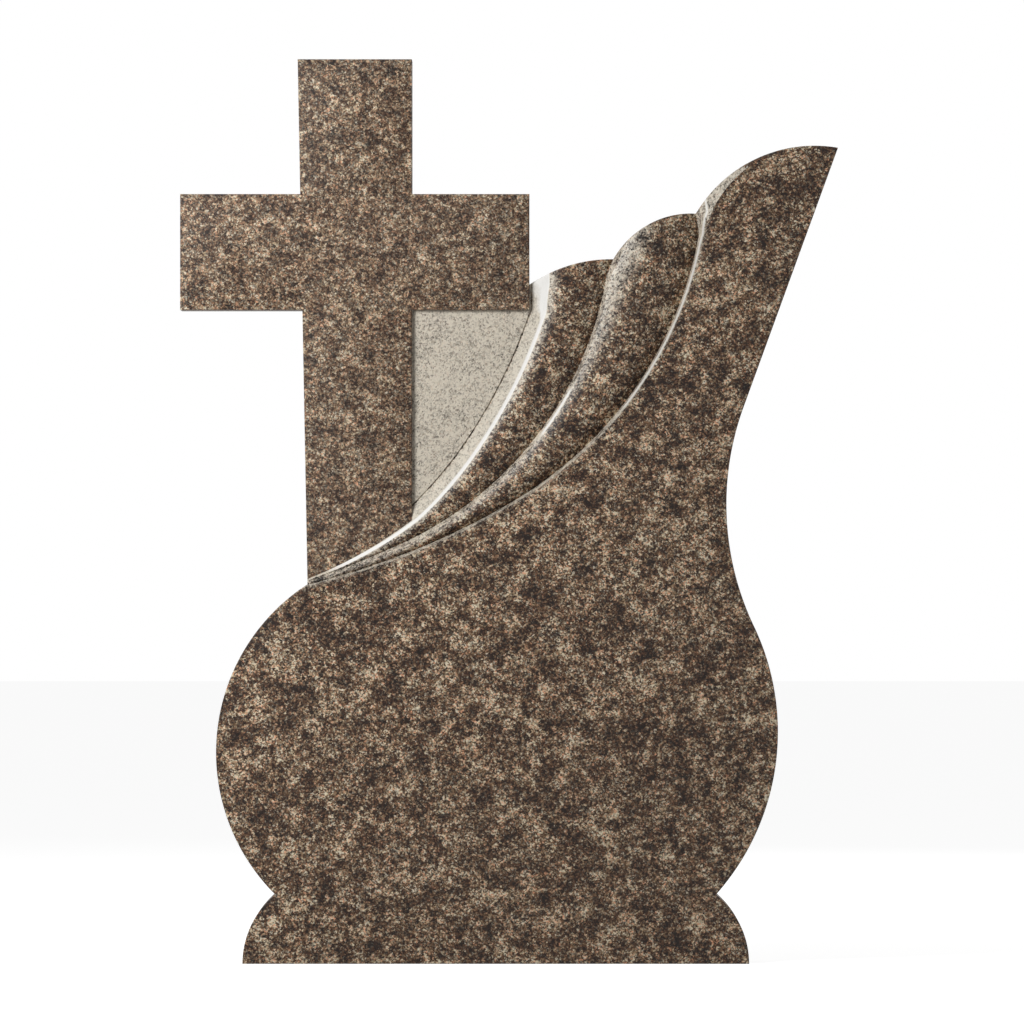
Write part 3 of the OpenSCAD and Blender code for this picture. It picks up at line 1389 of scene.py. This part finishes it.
def grain_group() -> Tree:
    """Granite grain: a tone from dark to light, and a warmth and a chance for each fine crystal.

    Returns:
        The group.
    """
    group, nodes, given, result = new_group(
        "granite_grain",
        {
            "Vector": ("NodeSocketVector", None),
            "Crystal": ("NodeSocketFloat", CRYSTAL),
            "Cloud": ("NodeSocketFloat", 0.5),
        },
        {"Tone": "NodeSocketFloat", "Warmth": "NodeSocketFloat", "Chip": "NodeSocketFloat"},
    )
    place = given.outputs["Vector"]
    pitch = nodes.sums("DIVIDE", 1.0, given.outputs["Crystal"])
    wobble = nodes.feed(nodes.add("TexNoise"), Vector=place, Scale=WOBBLE_SCALE, Detail=1.0)
    shift = nodes.add("VectorMath", operation="SUBTRACT")
    nodes.put(shift.inputs[0], wobble.outputs["Color"])
    nodes.put(shift.inputs[1], (0.5, 0.5, 0.5))
    scaled = nodes.add("VectorMath", operation="MULTIPLY_ADD")
    for socket, value in zip(scaled.inputs, (shift.outputs[0], (WOBBLE, WOBBLE, WOBBLE), place)):
        nodes.put(socket, value)
    bent = scaled.outputs[0]
    tone: object = 0.0
    for fineness, weight in CRYSTALS:
        cells = nodes.feed(
            nodes.add("TexVoronoi", feature="F1"), Vector=bent, Scale=nodes.sums("MULTIPLY", pitch, fineness)
        )
        chances = nodes.add("SeparateColor")
        nodes.put(chances.inputs[0], cells.outputs["Color"])
        tone = nodes.sums("MULTIPLY_ADD", chances.outputs[0], weight, tone)
    cloud_scale = nodes.sums("MULTIPLY", pitch, CLOUD_SCALE)
    cloud = nodes.feed(nodes.add("TexNoise"), Vector=bent, Scale=cloud_scale, Detail=2.0, Roughness=0.5)
    drift = nodes.sums("SUBTRACT", cloud.outputs["Fac"], 0.5)
    gain = nodes.sums("MULTIPLY", given.outputs["Cloud"], CLOUD_GAIN)
    tone = nodes.sums("MULTIPLY_ADD", drift, gain, tone)
    nodes.feed(result, Tone=tone, Warmth=chances.outputs[1], Chip=chances.outputs[2])
    return group


TONES = (
    (0.0, rgb(16, 5, 2)),
    (0.15, rgb(35, 17, 9)),
    (0.3, rgb(56, 34, 22)),
    (0.5, rgb(88, 64, 45)),
    (0.65, rgb(123, 101, 76)),
    (0.8, rgb(165, 147, 117)),
    (1.0, rgb(218, 206, 178)),
)
FELDSPAR = rgb(136, 96, 72)
QUARTZ = rgb(112, 108, 98)
CHALK = rgb(228, 226, 222)
HUE_GAIN = 2.2  # how sharply the red and the grey crystals stand apart
WHITE_GAIN = 10.0  # how suddenly a bruise turns white as it gets palest
GRAIN_IN_PALE = 4.5  # how far the grain shows in a bruise or in a painted highlight
CHIP_IN_PALE = 6.0  # how far single crystals stay dark in it


def colour_group() -> Tree:
    """Granite colours: brown mica and red feldspar below, beige and grey crystals above.

    Returns:
        The group.
    """
    group, nodes, given, result = new_group(
        "granite_colours",
        {
            "Tone": ("NodeSocketFloat", 0.5),
            "Warmth": ("NodeSocketFloat", 0.5),
            "Chip": ("NodeSocketFloat", 0.5),
            "Spread": ("NodeSocketFloat", 1.0),
            "Paleness": ("NodeSocketFloat", 0.0),
            "Pale": ("NodeSocketColor", CHALK),
        },
        {"Color": "NodeSocketColor"},
    )
    centred = nodes.sums("SUBTRACT", given.outputs["Tone"], 0.5)
    tone = nodes.sums("MULTIPLY_ADD", centred, given.outputs["Spread"], 0.5, clamp=True)
    ramp = nodes.add("ValToRGB")
    nodes.put(ramp.inputs[0], tone)
    elements = ramp.color_ramp.elements
    while len(elements) < len(TONES):
        elements.new(0.5)
    for element, (position, colour) in zip(elements, TONES):
        element.position = position
        element.color = colour
    warmth, paleness = given.outputs["Warmth"], given.outputs["Paleness"]
    red = nodes.sums("MULTIPLY_ADD", warmth, HUE_GAIN, 1 - HUE_GAIN, clamp=True)
    colour = nodes.blend(red, ramp.outputs[0], FELDSPAR, "COLOR")
    grey = nodes.sums("MULTIPLY_ADD", warmth, -HUE_GAIN, 1.0, clamp=True)
    colour = nodes.blend(grey, colour, QUARTZ, "COLOR")
    middle = nodes.sums("MULTIPLY", nodes.sums("SUBTRACT", 1.0, paleness), paleness)
    chips = nodes.sums("SUBTRACT", given.outputs["Chip"], 0.5)
    chips = nodes.sums("MULTIPLY", chips, nodes.sums("MULTIPLY", paleness, CHIP_IN_PALE))
    uneven = nodes.sums("MULTIPLY_ADD", centred, GRAIN_IN_PALE, chips)
    pale = nodes.sums("ADD", paleness, nodes.sums("MULTIPLY", middle, uneven), clamp=True)
    white = nodes.sums("MULTIPLY_ADD", paleness, WHITE_GAIN, 1 - WHITE_GAIN, clamp=True)
    # The pale colour serves both bruised stone and the painted highlights on the lobes' shoulders
    bruised = nodes.blend(white, given.outputs["Pale"], CHALK)
    colour = nodes.blend(pale, colour, bruised)
    nodes.feed(result, Color=colour)
    return group


@dataclass(frozen=True)
class GraniteFinish:
    """One finish of the granite.

    Args:
        roughness: roughness of its surface.
        spread: contrast of its grain.
        cloud: strength of the larger patches.
        bump: height of its tooth, in metres.
        paleness: how far the tooling has bruised the stone pale.
        pale: colour of the bruised stone, and of the painted highlight on the lobes' shoulders.
        specular: level of its mirror reflection.
        tooth_scale: how fine its tooth is.
    """

    roughness: float
    spread: float
    cloud: float
    bump: float = 0.0
    paleness: float = 0.0
    pale: Colour = rgb(206, 198, 183)
    specular: float = 0.25
    tooth_scale: float = 700.0

    def material(self, name: str, grain: Tree, colours: Tree) -> bpy.types.Material:
        """Makes the material from the shared groups.

        Args:
            name: its name.
            grain: the group that gives the grain.
            colours: the group that colours it.

        Returns:
            The material.
        """
        material, nodes = shading(name)
        place = nodes.add("TexCoord").outputs["Object"]
        speckle = nodes.feed(
            nodes.add("Group", node_tree=grain), Vector=place, Crystal=CRYSTAL, Cloud=self.cloud
        )
        # The attribute adds painted highlights on the lobes' shoulders and painted shade in the scribed
        # groove to the chisel's paleness
        bruise_and_painted_light = nodes.add("Attribute", attribute_name="bruise_and_painted_light").outputs["Fac"]
        colour = nodes.feed(
            nodes.add("Group", node_tree=colours),
            Tone=speckle.outputs["Tone"],
            Warmth=speckle.outputs["Warmth"],
            Chip=speckle.outputs["Chip"],
            Spread=self.spread,
            Paleness=nodes.sums(
                "ADD", nodes.sums("MAXIMUM", bruise_and_painted_light, self.paleness), nodes.sums("MINIMUM", bruise_and_painted_light, 0.0)
            ),
            Pale=self.pale,
        )
        shader = nodes.add("BsdfPrincipled")
        nodes.feed(shader, Base_Color=colour.outputs["Color"], Roughness=self.roughness)
        nodes.feed(shader, Specular_IOR_Level=self.specular)
        if self.bump:
            tooth = nodes.add("TexNoise")
            nodes.feed(tooth, Vector=place, Scale=self.tooth_scale, Detail=4.0, Roughness=0.7)
            bump = nodes.feed(nodes.add("Bump"), Height=tooth.outputs["Fac"], Distance=self.bump)
            nodes.feed(shader, Normal=bump.outputs["Normal"])
        nodes.end("OutputMaterial", shader.outputs[0])
        return material


FINISHES = {
    Finish.POLISHED: GraniteFinish(roughness=0.42, spread=1.38, cloud=0.5),
    Finish.DRESSED: GraniteFinish(roughness=0.6, spread=1.3, cloud=0.5, bump=0.0005),
    Finish.PECKED: GraniteFinish(
        roughness=0.75, spread=1.3, cloud=0.4, bump=0.001, paleness=0.81, pale=rgb(212, 203, 187)
    ),
    Finish.HONED: GraniteFinish(
        roughness=0.5, spread=1.0, cloud=0.4, bump=0.0002, paleness=0.1, pale=rgb(160, 147, 130)
    ),
    Finish.SAWN: GraniteFinish(
        roughness=0.65, spread=0.9, cloud=0.4, bump=0.0005, paleness=0.3, pale=rgb(172, 160, 142)
    ),
    Finish.SATIN: GraniteFinish(
        roughness=0.5, spread=1.16, cloud=0.38, bump=0.0001, paleness=0.05, pale=rgb(170, 156, 136)
    ),
}


# Studio


@dataclass
class Studio:
    """Floor, lights, world and camera.

    Args:
        front: where the stone's front face stands.
        middle: middle of the view, in plan.
        half_view: half the width that the camera sees there.
        distance: from the camera to the front face.
        sensor: width of the camera's sensor, in millimetres.
        ambient: strength of the light from all round.
        lift: how bright the floor shows without its shadow.
        floor_size: side of the floor.
        floor_colour: colour that it reflects.
    """

    front: float
    middle: Plan = field(default_factory=lambda: Vector((0.01975, 0.5492)))
    half_view: float = 0.62215
    distance: float = 12.0
    sensor: float = 36.0
    ambient: float = 0.22
    lift: float = 0.84
    floor_size: float = 40.0
    floor_colour: Colour = (0.5, 0.5, 0.5, 1)

    @staticmethod
    def seen(nodes: Nodes) -> Socket:
        """1 where a ray shows the background itself, straight or in a reflection, and 0 elsewhere.

        Args:
            nodes: builder of the tree to test in.

        Returns:
            The test.
        """
        paths = nodes.add("LightPath")
        shown = nodes.sums("MAXIMUM", paths.outputs["Is Camera Ray"], paths.outputs["Is Glossy Ray"])
        return nodes.sums("MAXIMUM", shown, paths.outputs["Is Transmission Ray"])

    def floor(self) -> None:
        """Lays a pale floor that keeps the stone's shadow."""
        bpy.ops.mesh.primitive_plane_add(size=self.floor_size, location=(0, 0, 0))
        floor = bpy.context.object
        floor.name = "floor"
        material, nodes = shading("floor")
        matt = nodes.feed(nodes.add("BsdfDiffuse"), Color=self.floor_colour)
        shown = nodes.sums("MULTIPLY", self.seen(nodes), self.lift)
        glow = nodes.feed(nodes.add("Emission"), Strength=shown)
        both = nodes.add("AddShader")
        for socket, shader in zip(both.inputs, (matt, glow)):
            nodes.put(socket, shader.outputs[0])
        nodes.end("OutputMaterial", both.outputs[0])
        floor.data.materials.append(material)

    def world(self) -> None:
        """Surrounds the stone with soft light, and shows white behind it."""
        world = bpy.data.worlds.new("studio")
        bpy.context.scene.world = world
        world.use_nodes = True
        nodes = Nodes(world.node_tree)
        world.node_tree.nodes.clear()
        strength = nodes.sums("MULTIPLY_ADD", self.seen(nodes), 1 - self.ambient, self.ambient)
        background = nodes.feed(nodes.add("Background"), Color=(1, 1, 1, 1), Strength=strength)
        nodes.end("OutputWorld", background.outputs[0])

    def lamp(self, name: str, place: Three, size: float, power: float) -> None:
        """Adds an area lamp that faces the stone.

        Args:
            name: its name.
            place: where it hangs.
            size: its diameter.
            power: its power in watts.
        """
        bpy.ops.object.light_add(type="AREA", location=place)
        lamp = bpy.context.object
        lamp.name = name
        lamp.data.shape = "DISK"
        lamp.data.size = size
        lamp.data.energy = power
        aim = Vector((self.middle.x, 0, self.middle.y)) - Vector(place)
        lamp.rotation_euler = aim.to_track_quat("-Z", "Y").to_euler()

    def camera(self) -> None:
        """Stands the camera square to the stone's front."""
        data = bpy.data.cameras.new("camera")
        data.sensor_width = self.sensor
        data.lens = self.sensor / 2 * self.distance / self.half_view
        camera = bpy.data.objects.new("camera", data)
        camera.location = (self.middle.x, self.front - self.distance, self.middle.y)
        camera.rotation_euler = (math.pi / 2, 0, 0)
        bpy.context.scene.collection.objects.link(camera)
        bpy.context.scene.camera = camera

    def build(self) -> None:
        """Sets up the whole studio."""
        self.floor()
        self.world()
        self.lamp("key", place=(-1.2, -1.25, 1.45), size=0.8, power=35)
        self.lamp("fill", place=(1.6, -3.4, 1.0), size=2.4, power=4)
        self.lamp("back", place=(1.2, 3.0, 2.0), size=2.0, power=22)
        self.camera()
        bpy.context.scene.view_settings.view_transform = "Standard"


def main() -> None:
    """Builds the stone and the studio."""
    logging.basicConfig(level=logging.INFO, format="%(name)s: %(message)s")
    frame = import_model()
    low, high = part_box("headstone")
    outline = Outline(stone_h=high.z - low.z)
    headstone = Stone(front=low.y, back=high.y, outline=outline, carving=Carving(outline))
    stone = headstone.build()
    headstone.dress(stone)
    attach(stone, "root")
    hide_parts("headstone")
    log.info("stone: %d faces, nodes replaced: %s", len(stone.data.polygons), sorted(frame["nodes"]))
    Studio(front=low.y).build()


if __name__ == "__main__":
    main()
